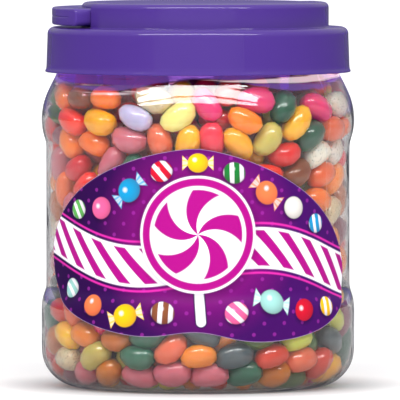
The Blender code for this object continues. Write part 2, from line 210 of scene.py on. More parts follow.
# The jar: one blow-moulded shell of clear plastic about a millimetre thick. A wide bulge at the
# shoulder and one at the base stand out from the body between two creases. The base is pushed
# up in the middle, and a fine parting line runs up two sides, where the mould opens.
JAR_WALL, NECK_WALL = 0.0009, 0.0015
BULGE_RADIUS, WAIST_RADIUS, NECK_RADIUS = 0.0690, 0.0669, 0.0619
CORNER_RADIUS, CORNER_RUN = 0.0168, 0.0522
SHOULDER_RADIUS, SHOULDER_HEIGHT = 0.0287, 0.1179
SLOPE_STEP = 0.0012
PARTING_TURN, PARTING_HALF = math.radians(57.6), math.radians(0.35)
PARTING_PROUD, PARTING_FROM, PARTING_FADE = 0.00007, 0.05, 0.01


def arc(centre, radius, start_deg, end_deg, steps):
    """Points of a circular arc in the (radius, height) plane, ends included."""
    turns = np.radians(np.linspace(start_deg, end_deg, steps + 1))
    return [(centre[0] + radius * math.cos(t), centre[1] + radius * math.sin(t)) for t in turns]


def soft_step(rise, step_in, centre_height, upwards, steps=10):
    """The rounding that takes a bulge from its full radius in to the body, rise high."""
    radius = (rise**2 + step_in**2) / (2 * step_in)
    end = math.degrees(math.asin(rise / radius))
    centre = (BULGE_RADIUS - radius, centre_height)
    return arc(centre, radius, 0, end, steps) if upwards else arc(centre, radius, -end, 0, steps)


def even_steps(points, spacing, smoothing):
    """The polyline resampled at an even spacing and smoothed, with its ends kept."""
    points = np.array(points)
    run = np.concatenate([[0], np.cumsum(np.hypot(*np.diff(points, axis=0).T))])
    at = np.linspace(0, run[-1], int(run[-1] / spacing) + 1)
    points = np.stack([np.interp(at, run, points[:, 0]), np.interp(at, run, points[:, 1])], axis=1)
    for _ in range(smoothing):
        points[1:-1] = points[:-2] * 0.25 + points[1:-1] * 0.5 + points[2:] * 0.25
    return points


def offset_inwards(points, distance):
    """The profile moved towards the hollow by distance, square to itself."""
    along = np.gradient(points, axis=0)
    along /= np.hypot(*along.T)[:, None]
    moved = points + distance[:, None] * np.stack([-along[:, 1], along[:, 0]], axis=1)
    moved[0] = (0.0, points[0, 1] + distance[0])
    return moved


step_in = BULGE_RADIUS - WAIST_RADIUS
jar_side = [(0.0, 0.0048), (0.0022, 0.0048), (0.0030, 0.0055), (0.014, 0.0054), (0.028, 0.0052)]
jar_side += [(0.036, 0.0044), (0.0415, 0.0024), (0.0450, 0.0003), (0.0462, 0.0)]
jar_side += arc((CORNER_RUN, CORNER_RADIUS), CORNER_RADIUS, -90, 0, 24)
jar_side += soft_step(0.0088, step_in, 0.0348, True)
jar_side += soft_step(0.0101, step_in, SHOULDER_HEIGHT, False)
jar_side += arc((BULGE_RADIUS - SHOULDER_RADIUS, SHOULDER_HEIGHT), SHOULDER_RADIUS, 0, 23.2, 12)[1:]
for slope in (23.8, 24.6, 25.4, 26.2, 27.0):
    turn = math.radians(slope)
    radius, height = jar_side[-1]
    jar_side.append((radius - SLOPE_STEP * math.sin(turn), height + SLOPE_STEP * math.cos(turn)))
jar_side += [(0.0625, 0.1376), (NECK_RADIUS, 0.1392), (NECK_RADIUS, 0.1565)]
jar_outside = even_steps(jar_side, 0.0011, 3)
jar_outside[:, 1] = np.maximum(jar_outside[:, 1], 0.0)
jar_wall = np.interp(jar_outside[:, 1], (0.126, 0.137), (JAR_WALL, NECK_WALL))
jar_inside = offset_inwards(jar_outside, jar_wall)


def lathe_mesh(name, rings, turns, finish, closed=True):
    """A turned shell. rings are (radius, height) pairs, or a function of the turn that gives
    them, and turns are the angles from -Y towards +X at which they stand."""
    form = bmesh.new()
    rows = []
    for turn in turns:
        pairs = rings(turn) if callable(rings) else rings
        rows.append([
            form.verts.new((radius * math.sin(turn), -radius * math.cos(turn), height))
            for radius, height in pairs
        ])
    for here, after in zip(rows, rows[1:] + rows[:1]):
        for i in range(len(here) if closed else len(here) - 1):
            j = (i + 1) % len(here)
            form.faces.new((here[i], after[i], after[j], here[j]))
    bmesh.ops.remove_doubles(form, verts=form.verts, dist=0.000002)
    bare_edges = [edge for edge in form.edges if not edge.link_faces]
    bmesh.ops.delete(form, geom=bare_edges, context="EDGES")
    bmesh.ops.recalc_face_normals(form, faces=form.faces)
    return mesh_object(name, form, finish)


def mesh_object(name, form, finish, smooth_deg=40):
    """The bmesh as a new object in the room, shaded smooth except at sharp edges."""
    mesh = bpy.data.meshes.new(name)
    form.to_mesh(mesh)
    form.free()
    mesh.shade_smooth()
    mesh.set_sharp_from_angle(angle=math.radians(smooth_deg))
    mesh.materials.append(finish)
    made = bpy.data.objects.new(name, mesh)
    room.collection.objects.link(made)
    return made


def jar_section(turn):
    """The jar's closed wall section at one turn. The parting line stands a little proud."""
    off = abs((turn - PARTING_TURN + math.pi / 2) % math.pi - math.pi / 2)
    proud = PARTING_PROUD * max(0.0, 1 - off / PARTING_HALF)
    outside = jar_outside.copy()
    outside[:, 0] += proud * np.clip((outside[:, 0] - PARTING_FROM) / PARTING_FADE, 0, 1)
    return [tuple(p) for p in outside] + [tuple(p) for p in jar_inside[::-1]]


jar_turns = list(np.linspace(0, math.tau, 132, endpoint=False))
for side in (PARTING_TURN, PARTING_TURN + math.pi):
    jar_turns += [side + d * PARTING_HALF for d in (-2, -1, 0, 1, 2)]
jar_turns.sort()


def inside_of(tree, distance, limit, soft=0.003):
    """1 where distance is under limit and 0 where it is over, with a soft edge between."""
    over = maths(tree, "SUBTRACT", distance, limit)
    return ramp(tree, over, -soft, soft, 1.0, 0.0, curve="LINEAR")


def bump(tree, height, strength, distance, **settings):
    """The Normal of a surface on which height stands proud."""
    inputs = {"Height": height, "Strength": strength, "Distance": distance}
    return add_node(tree, "ShaderNodeBump", inputs, **settings).outputs["Normal"]


# The clear plastic is painted darker where it is seen edge on, as painted shade. Round the neck it
# is painted with the lid's colours as a painted reflection of the lid: a magenta band and a
# streaked purple above.
WALL_CLEAR, WALL_EDGE_SHADE = (0.955, 0.960, 0.950, 1.0), (0.48, 0.45, 0.44, 1.0)
REFLECTED_LID_PURPLE, REFLECTED_LID_PINK = (0.25, 0.10, 0.50, 1.0), (0.92, 0.42, 0.60, 1.0)
NO_GLOW, PAINTED_PURPLE_GLOW = (0.0, 0.0, 0.0, 1.0), (0.21, 0.09, 0.42, 1.0)
PAINTED_WHITE_HIGHLIGHT = (1.0, 0.97, 1.0, 1.0)
clear_plastic, clear, clear_shader = new_material("clear_plastic")
clear_place = object_place(clear)
clear_x, clear_y, clear_z = split(clear, clear_place)
streak_inputs = {"Vector": clear_place, "Scale": (14.0, 14.0, 330.0)}
streak_place = add_node(clear, "ShaderNodeMapping", streak_inputs).outputs["Vector"]
streaks = noise(clear, streak_place, 1.0, 3.0)
clear_turn = maths(clear, "ARCTAN2", clear_x, clear_y)
neck_lobe = maths(clear, "SINE", maths(clear, "MULTIPLY", clear_turn, 2.0))
neck_lobe = maths(clear, "POWER", neck_lobe, 2.0)
edge_height = maths(clear, "MULTIPLY_ADD", neck_lobe, 0.0042, clear_z)
edge_height = maths(clear, "MULTIPLY_ADD", noise(clear, clear_place, 38.0), 0.007, edge_height)
purple_reflection_share = ramp(clear, edge_height, 0.1392, 0.1402)
magenta_reflection_share = ramp(clear, edge_height, 0.1362, 0.1394)
streak_share = ramp(clear, streaks, 0.52, 0.60, curve="LINEAR")
painted_lid_reflection = blend_colour(clear, streak_share, REFLECTED_LID_PURPLE, REFLECTED_LID_PINK)
# Where the wall is seen edge on, its colour is painted darker, as painted shade at the jar's sides.
edge_shade_share = add_node(clear, "ShaderNodeLayerWeight", {"Blend": 0.30}).outputs["Facing"]
clear_colour = blend_colour(clear, edge_shade_share, WALL_CLEAR, WALL_EDGE_SHADE)
clear_colour = blend_colour(clear, magenta_reflection_share, clear_colour, REFLECTED_LID_PINK)
clear_colour = blend_colour(clear, purple_reflection_share, clear_colour, painted_lid_reflection)
# The neck's emission is painted light: a painted purple glow in the streaks and painted white
# highlight streaks round the neck.
painted_glow_share = maths(clear, "MULTIPLY", inside_of(clear, streaks, 0.55, 0.03), purple_reflection_share)
painted_glow_colour = blend_colour(clear, painted_glow_share, NO_GLOW, PAINTED_PURPLE_GLOW)
painted_highlight_share = inside_of(clear, maths(clear, "MULTIPLY", streaks, -1.0), -0.60, 0.012)
painted_highlight_share = maths(clear, "MULTIPLY", painted_highlight_share, magenta_reflection_share)
painted_glow_colour = blend_colour(clear, painted_highlight_share, painted_glow_colour, PAINTED_WHITE_HIGHLIGHT)
clear_height = maths(clear, "MULTIPLY", streaks, magenta_reflection_share)
clear_height = maths(clear, "MULTIPLY_ADD", clear_height, 0.8, noise(clear, clear_place, 55.0))
set_inputs(clear, clear_shader, {
    "Base Color": clear_colour,
    "Roughness": 0.02,
    "IOR": 1.5,
    "Transmission Weight": 1.0,
    "Specular Tint": (0.9, 0.9, 0.9, 1.0),
    "Emission Color": painted_glow_colour,
    "Emission Strength": 0.32,
    "Normal": bump(clear, clear_height, 0.35, 0.0005),
})
clear_path = add_node(clear, "ShaderNodeLightPath")
clear_soft = (clear_path.outputs["Is Shadow Ray"], clear_path.outputs["Is Diffuse Ray"])
clear_through = add_node(clear, "ShaderNodeBsdfTransparent", {"Color": (0.95, 0.96, 0.955, 1.0)})
clear_mix = add_node(clear, "ShaderNodeMixShader", {
    0: maths(clear, "MAXIMUM", *clear_soft),
    1: clear_shader.outputs["BSDF"],
    2: clear_through.outputs["BSDF"],
})
set_inputs(clear, clear.nodes["Material Output"], {"Surface": clear_mix.outputs["Shader"]})

jar_shell = lathe_mesh("clear_jar", jar_section, jar_turns, clear_plastic)
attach(jar_shell, "jar")
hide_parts("jar")


# The lid: an injection-moulded purple screw lid. A smooth skirt, drawn in a little towards the
# top, ends in a small lip. The round raised top is wider on one half, and the handle folds
# round the other.
SKIRT_FOOT, LID_TOP, BOSS_TOP = 0.1389, 0.1588, 0.1697
PIVOT_TURN, PIVOT_HEIGHT = math.radians(-148.8), 0.16365
WITNESS_TURN, WITNESS_HALF, WITNESS_PROUD = 17.6, 0.20, 0.00010
WITNESS_FROM, WITNESS_FOOT = 0.066, 0.141


def finish_group(name, inputs, outputs):
    """An empty shader node group with named float and colour sockets."""
    group = bpy.data.node_groups.new(name, "ShaderNodeTree")
    for side, sockets in (("INPUT", inputs), ("OUTPUT", outputs)):
        for label, kind, value in sockets:
            socket = group.interface.new_socket(label, in_out=side, socket_type=kind)
            if value is not None:
                socket.default_value = value
    return group, group.nodes.new("NodeGroupInput"), group.nodes.new("NodeGroupOutput")


FLOAT, COLOUR = "NodeSocketFloat", "NodeSocketColor"
moulded, moulded_in, moulded_out = finish_group(
    "moulded_plastic",
    [("Colour", COLOUR, None), ("Pale colour", COLOUR, None), ("Mottle", FLOAT, 0.4),
     ("Grain", FLOAT, 2600.0)],
    [("Colour", COLOUR, None), ("Roughness", FLOAT, None), ("Height", FLOAT, None)],
)
moulded_place = object_place(moulded)
moulded_cloud = noise(moulded, moulded_place, 28.0, 3.0)
moulded_share = maths(moulded, "MULTIPLY", moulded_cloud, moulded_in.outputs["Mottle"])
moulded_shades = (moulded_in.outputs["Colour"], moulded_in.outputs["Pale colour"])
set_inputs(moulded, moulded_out, {
    "Colour": blend_colour(moulded, moulded_share, *moulded_shades),
    "Roughness": maths(moulded, "MULTIPLY_ADD", moulded_cloud, 0.07, 0.10),
    "Height": noise(moulded, moulded_place, moulded_in.outputs["Grain"]),
})


def moulded_material(name, colour, pale):
    """The lid's plastic: slightly mottled, with a fine grain, and letting a little light in."""
    made, tree, shader = new_material(name)
    shades = {"Colour": colour, "Pale colour": pale}
    finish = add_node(tree, "ShaderNodeGroup", shades, node_tree=moulded)
    set_inputs(tree, shader, {
        "Base Color": finish.outputs["Colour"],
        "Roughness": finish.outputs["Roughness"],
        "Normal": bump(tree, finish.outputs["Height"], 0.10, 0.00003),
        "Specular IOR Level": 0.35,
        "Subsurface Weight": 0.08,
        "Subsurface Radius": (0.4, 0.25, 1.0),
        "Subsurface Scale": 0.002,
    })
    return made


lid_plastic = moulded_material("lid_plastic", srgb(66, 42, 120), srgb(76, 50, 130))

lid_side = [(0.0, 0.1569), (0.0646, 0.1569), (0.0650, 0.1565), (0.0650, 0.1392)]
lid_side += [(0.0653, SKIRT_FOOT), (0.0671, SKIRT_FOOT), (0.0674, 0.1391), (0.0674, 0.1395)]
lid_side += [(0.0671, 0.1401), (0.0669, 0.1410), (0.06683, 0.1425), (0.0666, 0.1490)]
lid_side += [(0.0664, 0.1545), *arc((0.0633, 0.1557), 0.0031, 4, 90, 10)]
lid_side += [(0.0560, LID_TOP), (0.0, LID_TOP)]


def lid_section(turn):
    """The lid's turned section, with the faint witness line of the mould on its outer side."""
    off = abs(turn - math.radians(WITNESS_TURN))
    proud = WITNESS_PROUD * max(0.0, 1 - off / math.radians(WITNESS_HALF))
    return [
        (r + (proud if r > WITNESS_FROM and z > WITNESS_FOOT else 0.0), z) for r, z in lid_side
    ]


lid_turns = list(np.linspace(-math.pi, math.pi, 180, endpoint=False))
lid_turns += [math.radians(WITNESS_TURN + d) for d in (-0.5, -WITNESS_HALF, 0.0, WITNESS_HALF, 0.5)]
lid_skirt = lathe_mesh("lid_skirt", lid_section, sorted(lid_turns), lid_plastic)


def boss_ring(inset, height):
    """One level of the raised top, in its own frame: the pivot line is X and the wide half
    is at +Y."""
    wide, narrow = 0.0577 - inset, 0.0513 - inset
    cut = 0.0045 + inset
    wide_start, narrow_start = math.asin(cut / wide), math.asin(cut / narrow)
    points = []
    for radius, start, sweep in (
        (wide, wide_start, math.pi - 2 * wide_start),
        (narrow, math.pi - narrow_start, math.pi + 2 * narrow_start),
    ):
        for t in np.linspace(start, start + sweep, 73):
            points.append(Vector((radius * math.cos(t), radius * math.sin(t), height)))
    return points


def stack_rings(form, rings):
    """Joins closed rings of equal counts into a solid with flat ends."""
    rows = [[form.verts.new(p) for p in ring] for ring in rings]
    for low, high in zip(rows, rows[1:]):
        for i in range(len(low)):
            j = (i + 1) % len(low)
            form.faces.new((low[i], low[j], high[j], high[i]))
    form.faces.new(rows[0][::-1])
    form.faces.new(rows[-1])


to_pivot = Matrix.Rotation(PIVOT_TURN, 3, "Z")
boss_form = bmesh.new()
boss_levels = [(-0.0006, LID_TOP - 0.0004), (-0.0006, LID_TOP)]
boss_levels += [(-0.0002, LID_TOP + 0.0002), (0.0, LID_TOP + 0.0007)]
BOSS_ROUND = 0.0023
for t in np.linspace(0, math.pi / 2, 9):
    boss_levels.append((BOSS_ROUND * (1 - math.cos(t)), BOSS_TOP - BOSS_ROUND * (1 - math.sin(t))))
stack_rings(boss_form, [[to_pivot @ p for p in boss_ring(*level)] for level in boss_levels])
bmesh.ops.recalc_face_normals(boss_form, faces=boss_form.faces)
lid_boss = mesh_object("lid_boss", boss_form, lid_plastic)


def turned_on_pivot(form, profile, steps=32, squareness=2.0, bore=0.0):
    """Two solids of the (radius, distance) profile turned about the pivot line. A squareness
    over 2 takes the section outside the bore towards a square with soft corners."""
    for side in (1, -1):
        rows = []
        for t in np.linspace(0, math.tau, steps, endpoint=False):
            c, s = math.cos(t), math.sin(t)
            square = (abs(c) ** squareness + abs(s) ** squareness) ** (-1 / squareness)
            row = []
            for radius, far in profile:
                reach = radius * (1.0 if radius <= bore else square)
                point = to_pivot @ Vector((side * far, reach * c, reach * s))
                row.append(form.verts.new(point + Vector((0, 0, PIVOT_HEIGHT))))
            rows.append(row)
        for here, after in zip(rows, rows[1:] + rows[:1]):
            for i in range(len(profile) - 1):
                form.faces.new((here[i], after[i], after[i + 1], here[i + 1]))
    bmesh.ops.remove_doubles(form, verts=form.verts, dist=0.000002)
    bmesh.ops.recalc_face_normals(form, faces=form.faces)


pin_form = bmesh.new()
pin_profile = [(0.0, 0.0500), (0.0020, 0.0500), (0.0020, 0.0577), (0.0017, 0.0580), (0.0, 0.0580)]
turned_on_pivot(pin_form, pin_profile, 20)
lid_pins = mesh_object("lid_pins", pin_form, lid_plastic)
for piece in (lid_skirt, lid_boss, lid_pins):
    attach(piece, "jar")
    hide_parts("lid")


# The carry handle: a half ring of the same plastic, round in its edges, with the mould's parting
# groove round its outer face. Its two round ends turn on pins on the lid's raised top.
HANDLE_IN, HANDLE_OUT, HANDLE_HALF, HANDLE_EDGE = 0.0523, 0.0644, 0.00385, 0.0010


def handle_section():
    """The half ring's cross-section as (radius, height above the pivot line)."""
    edge, half = HANDLE_EDGE, HANDLE_HALF
    points = arc((HANDLE_IN + edge, -half + edge), edge, 180, 270, 6)
    points += arc((HANDLE_OUT - edge, -half + edge), edge, 270, 360, 6)
    points += [(HANDLE_OUT, -0.00032), (HANDLE_OUT - 0.00028, 0.0), (HANDLE_OUT, 0.00032)]
    points += arc((HANDLE_OUT - edge, half - edge), edge, 0, 90, 6)
    points += arc((HANDLE_IN + edge, half - edge), edge, 90, 180, 6)
    return points


handle_plastic = moulded_material("handle_plastic", srgb(70, 46, 126), srgb(80, 54, 136))
handle_form = bmesh.new()
handle_rings = []
for t in np.linspace(math.pi, math.tau, 97):
    handle_rings.append([
        to_pivot @ Vector((r * math.cos(t), r * math.sin(t), 0)) + Vector((0, 0, PIVOT_HEIGHT + z))
        for r, z in handle_section()
    ])
stack_rings(handle_form, handle_rings)
bmesh.ops.recalc_face_normals(handle_form, faces=handle_form.faces)

# The half ring's flat ends are hollowed a little wider than the hubs' blind bores, so that the
# hub's own bore is the wall round each pin.
BORE, BORE_END, HOLLOW = 0.0023, 0.0585, 0.0001
bore_form = bmesh.new()
hollow_profile = [(0.0, 0.0515), (BORE + HOLLOW, 0.0515), (BORE + HOLLOW, BORE_END + HOLLOW)]
turned_on_pivot(bore_form, hollow_profile + [(0.0, BORE_END + HOLLOW)], 48)
ring_blank = mesh_object("ring_blank", handle_form, handle_plastic)
bore_cutter = mesh_object("bore_cutter", bore_form, handle_plastic)
boring = ring_blank.modifiers.new("boring", "BOOLEAN")
boring.operation, boring.solver, boring.object = "DIFFERENCE", "EXACT", bore_cutter
bored = ring_blank.evaluated_get(bpy.context.evaluated_depsgraph_get())
handle_form = bmesh.new()
handle_form.from_mesh(bpy.data.meshes.new_from_object(bored))
for helper in (ring_blank, bore_cutter):
    bpy.data.objects.remove(helper)
HUB_HALF, HUB_EDGE, HUB_IN, HUB_OUT, HUB_MOUTH = 0.00375, 0.0008, 0.0520, 0.0647, 0.0026
hub_profile = [(0.0, BORE_END), (BORE, BORE_END), (BORE, 0.0523), (HUB_MOUTH, HUB_IN)]
hub_profile += arc((HUB_HALF - HUB_EDGE, HUB_IN + HUB_EDGE), HUB_EDGE, -90, 0, 5)
hub_profile += arc((HUB_HALF - HUB_EDGE, HUB_OUT - HUB_EDGE), HUB_EDGE, 0, 90, 5)
turned_on_pivot(handle_form, hub_profile + [(0.0, HUB_OUT)], 64, 4.0, HUB_MOUTH)
handle_piece = mesh_object("carry_handle", handle_form, handle_plastic)
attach(handle_piece, "handle")
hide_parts("handle")


# The label: a thin glossy film, cut to a broad bean shape and stuck round the front. Its print
# is a plain sweet-shop pattern on deep purple: a striped ribbon with white edges, a lollipop in
# the middle, and round and wrapped sweets on both sides.
LABEL_HALF_WIDTH, LABEL_RISE, LABEL_DROP = 0.0828, 0.0493, 0.0350
LABEL_DIMPLE, LABEL_DIMPLE_WIDTH = 0.0045, 0.017
LABEL_GAP, LABEL_FILM = 0.00003, 0.00012


def label_span(along):
    """The label's lowest and highest point at a distance along from its middle."""
    share = min(abs(along) / LABEL_HALF_WIDTH, 1.0)
    rise = LABEL_RISE * (1 - share**1.55) ** (1 / 1.55)
    drop = LABEL_DROP * (1 - share**2.4) ** (1 / 2.4)
    dimple = LABEL_DIMPLE * math.exp(-((along / LABEL_DIMPLE_WIDTH) ** 2))
    middle = 0.0580 - 0.048 * along
    return middle - drop + dimple, middle + rise


label_wall = jar_outside[jar_outside[:, 1] > 0.010]


def label_point(along, height, lift):
    """The point of the film that stands lift off the jar's wall."""
    radius = np.interp(height, label_wall[:, 1], label_wall[:, 0]) + lift
    turn = along / WAIST_RADIUS
    return (radius * math.sin(turn), -radius * math.cos(turn), height)


label_columns, label_rows = 130, 62
label_form = bmesh.new()
label_uv = label_form.loops.layers.uv.new("print")
label_rim = label_form.verts.layers.float.new("rim")
label_layers, label_places = [], {}
for lift in (LABEL_GAP, LABEL_GAP + LABEL_FILM):
    grid = []
    for i in range(label_columns + 1):
        along = LABEL_HALF_WIDTH * math.sin(math.pi / 2 * (1.99 * i / label_columns - 0.995))
        low, high = label_span(along)
        edge = min(0.0003, (high - low) * 0.1)
        heights = [low] + list(np.linspace(low + edge, high - edge, label_rows - 1)) + [high]
        column = []
        for j, height in enumerate(heights):
            vert = label_form.verts.new(label_point(along, height, lift))
            vert[label_rim] = 1.0 if j in (0, label_rows) or i in (0, label_columns) else 0.0
            label_places[vert] = (along * 10, height * 10)
            column.append(vert)
        grid.append(column)
    label_layers.append(grid)
for grid in label_layers:
    for i in range(label_columns):
        for j in range(label_rows):
            label_form.faces.new((grid[i][j], grid[i + 1][j], grid[i + 1][j + 1], grid[i][j + 1]))
rim_steps = [(i, j, i + 1, j) for i in range(label_columns) for j in (0, label_rows)]
rim_steps += [(i, j, i, j + 1) for j in range(label_rows) for i in (0, label_columns)]
for i, j, next_i, next_j in rim_steps:
    inner, outer = [(grid[i][j], grid[next_i][next_j]) for grid in label_layers]
    label_form.faces.new((*inner, *outer[::-1]))
for face in label_form.faces:
    for loop in face.loops:
        loop[label_uv].uv = label_places[loop.vert]
bmesh.ops.recalc_face_normals(label_form, faces=label_form.faces)

label_film, film, film_shader = new_material("label_film")
film_map = add_node(film, "ShaderNodeUVMap", uv_map="print")
PRINT_X, PRINT_Y = split(film, film_map.outputs["UV"])[:2]


def turned_axes(tree, across, up, centre, degrees):
    """across and up counted from centre, in axes turned by degrees."""
    x = maths(tree, "SUBTRACT", across, centre[0])
    y = maths(tree, "SUBTRACT", up, centre[1])
    c, s = math.cos(math.radians(degrees)), math.sin(math.radians(degrees))
    first = maths(tree, "ADD", maths(tree, "MULTIPLY", x, c), maths(tree, "MULTIPLY", y, s))
    second = maths(tree, "SUBTRACT", maths(tree, "MULTIPLY", y, c), maths(tree, "MULTIPLY", x, s))
    return first, second


PURPLE_DARK, PURPLE, MAGENTA = srgb(40, 0, 66), srgb(66, 4, 96), srgb(166, 0, 126)
WHITE = srgb(240, 236, 242)


def rounded_bar(tree, x, y, half_length):
    """How far a point is from a bar along X: inside the bar's radius where it is on it."""
    past = maths(tree, "SUBTRACT", maths(tree, "ABSOLUTE", x), half_length)
    return length_of(tree, maths(tree, "MAXIMUM", past, 0.0), y)


def outlined(tree, under, distance, limit, inside, outline=WHITE, line=0.008):
    """A shape of one colour with an outline, laid over what is under it."""
    under = blend_colour(tree, inside_of(tree, distance, limit), under, outline)
    return blend_colour(tree, inside_of(tree, distance, limit - 2 * line), under, inside)


# The ground: deep purple, paler to the right, with a magenta glow behind the lollipop and small
# tone-on-tone dots in staggered rows.
fade = ramp(film, PRINT_X, -0.65, 0.45, curve="LINEAR")
print_colour = blend_colour(film, fade, PURPLE_DARK, PURPLE)
pop_x, pop_y = turned_axes(film, PRINT_X, PRINT_Y, (0.0, 0.70), 0)
pop_far = length_of(film, pop_x, pop_y)
glow = maths(film, "MULTIPLY", inside_of(film, pop_far, 0.31, 0.17), 0.8)
print_colour = blend_colour(film, glow, print_colour, srgb(150, 0, 126))
polka_x, polka_y = turned_axes(film, PRINT_X, PRINT_Y, (0.0, 0.6), 45)
polka_x = maths(film, "PINGPONG", polka_x, 0.034)
polka_y = maths(film, "PINGPONG", polka_y, 0.034)
polka = inside_of(film, length_of(film, polka_x, polka_y), 0.0085, 0.002)
polka = maths(film, "MULTIPLY", polka, 0.5)
print_colour = blend_colour(film, polka, print_colour, srgb(160, 40, 160))

# The ribbon: a waving band of slanting candy stripes across the whole label, with white edges
# and a fine magenta line along each side.
ribbon_wave = maths(film, "SINE", maths(film, "MULTIPLY", PRINT_X, 5.2))
ribbon_line = maths(film, "MULTIPLY_ADD", PRINT_X, -0.05, 0.60)
ribbon_line = maths(film, "MULTIPLY_ADD", ribbon_wave, 0.055, ribbon_line)
ribbon_up = maths(film, "SUBTRACT", PRINT_Y, ribbon_line)
ribbon_far = maths(film, "ABSOLUTE", ribbon_up)
stripe_phase = maths(film, "MULTIPLY", maths(film, "ADD", PRINT_X, ribbon_up), 50.0)
stripe_mask = inside_of(film, maths(film, "SINE", stripe_phase), -0.10, 0.15)
ribbon_colour = blend_colour(film, stripe_mask, WHITE, MAGENTA)
print_colour = outlined(film, print_colour, ribbon_far, 0.090, ribbon_colour, line=0.006)
side_line = maths(film, "ABSOLUTE", maths(film, "SUBTRACT", ribbon_far, 0.108))
side_line = inside_of(film, side_line, 0.0045)
print_colour = blend_colour(film, side_line, print_colour, srgb(214, 40, 160))

# The lollipop in the middle: a swirl of five arms in a magenta ring, on a white stick and over
# a soft shadow.
stick_x, stick_y = turned_axes(film, PRINT_X, PRINT_Y, (0.008, 0.395), 94)
stick_far = rounded_bar(film, stick_x, stick_y, 0.075)
print_colour = outlined(film, print_colour, stick_far, 0.026, WHITE, PURPLE_DARK, 0.003)
cast_far = length_of(film, pop_x, maths(film, "ADD", pop_y, 0.012))
cast = maths(film, "MULTIPLY", inside_of(film, cast_far, 0.262, 0.03), 0.55)
print_colour = blend_colour(film, cast, print_colour, srgb(18, 2, 36))
pop_turn = maths(film, "MULTIPLY", maths(film, "ARCTAN2", pop_y, pop_x), 5.0)
swirl_phase = maths(film, "MULTIPLY_ADD", pop_far, 21.0, pop_turn)
swirl_white = inside_of(film, maths(film, "SINE", swirl_phase), 0.0, 0.12)
swirl_colour = blend_colour(film, swirl_white, WHITE, MAGENTA)
print_colour = outlined(film, print_colour, pop_far, 0.256, MAGENTA, line=0.005)
print_colour = outlined(film, print_colour, pop_far, 0.212, swirl_colour)

# The printed sweets: round boiled drops with a light spot on a soft shadow. Some are striped,
# and some have the two gathered ends of a twisted wrapper.
sweet, sweet_in, sweet_out = finish_group(
    "printed_sweet",
    [("Across", FLOAT, 0.0), ("Up", FLOAT, 0.0), ("Size", FLOAT, 0.05), ("Wrapper", FLOAT, 0.0),
     ("Stripes", FLOAT, 0.0), ("Under", COLOUR, None), ("Sweet", COLOUR, None)],
    [("Colour", COLOUR, None)],
)


def sweet_far(across_shift, up_shift, squeeze=1.08):
    """The distance from the drop's shifted middle, as a share of its size."""
    x = maths(sweet, "ADD", sweet_in.outputs["Across"], across_shift)
    y = maths(sweet, "MULTIPLY", maths(sweet, "ADD", sweet_in.outputs["Up"], up_shift), squeeze)
    return maths(sweet, "DIVIDE", length_of(sweet, x, y), sweet_in.outputs["Size"])


shadow = maths(sweet, "MULTIPLY", inside_of(sweet, sweet_far(0.004, 0.010), 1.05, 0.22), 0.55)
sweet_colour = blend_colour(sweet, shadow, sweet_in.outputs["Under"], srgb(18, 2, 36))
side_share = maths(sweet, "DIVIDE", sweet_in.outputs["Across"], sweet_in.outputs["Size"])
up_share = maths(sweet, "DIVIDE", sweet_in.outputs["Up"], sweet_in.outputs["Size"])
wing_x, wing_y = maths(sweet, "ABSOLUTE", side_share), maths(sweet, "ABSOLUTE", up_share)
wing_edge = maths(sweet, "SUBTRACT", wing_y, maths(sweet, "MULTIPLY_ADD", wing_x, 0.95, -0.72))
wing_end = inside_of(sweet, wing_x, 1.50, 0.05)
wing = maths(sweet, "MULTIPLY", inside_of(sweet, wing_edge, 0.0, 0.05), wing_end)
wing = maths(sweet, "MULTIPLY", wing, sweet_in.outputs["Wrapper"])
pleat = maths(sweet, "SINE", maths(sweet, "MULTIPLY", maths(sweet, "DIVIDE", wing_y, wing_x), 26.0))
pleat = maths(sweet, "MULTIPLY_ADD", pleat, 0.2, 0.3)
wing_colour = blend_colour(sweet, pleat, sweet_in.outputs["Sweet"], WHITE)
sweet_colour = blend_colour(sweet, wing, sweet_colour, wing_colour)
band_phase = maths(sweet, "MULTIPLY", maths(sweet, "MULTIPLY_ADD", up_share, 0.4, side_share), 6.5)
bands = inside_of(sweet, maths(sweet, "SINE", band_phase), -0.2, 0.25)
bands = maths(sweet, "MULTIPLY", bands, sweet_in.outputs["Stripes"])
sweet_body = blend_colour(sweet, bands, sweet_in.outputs["Sweet"], WHITE)
sweet_shade = maths(sweet, "MULTIPLY", maths(sweet, "POWER", sweet_far(0.010, -0.008), 2.0), 0.30)
sweet_body = blend_colour(sweet, sweet_shade, sweet_body, srgb(60, 12, 40))
glint = maths(sweet, "MULTIPLY", inside_of(sweet, sweet_far(0.014, -0.014, 1.0), 0.16, 0.13), 0.9)
sweet_body = blend_colour(sweet, glint, sweet_body, WHITE)
in_sweet = inside_of(sweet, sweet_far(0.0, 0.0), 1.0, 0.05)
sweet_colour = blend_colour(sweet, in_sweet, sweet_colour, sweet_body)
set_inputs(sweet, sweet_out, {"Colour": sweet_colour})

GREEN, APRICOT, SKY = srgb(92, 176, 84), srgb(240, 120, 70), srgb(10, 148, 200)
CREAM, PINK, YELLOW = srgb(226, 222, 214), srgb(232, 96, 150), srgb(250, 192, 8)
MINT, SCARLET = srgb(150, 204, 196), srgb(204, 16, 44)
LEAF, COCOA = srgb(20, 120, 50), srgb(132, 76, 46)
SWEET_SCALE = 1.12
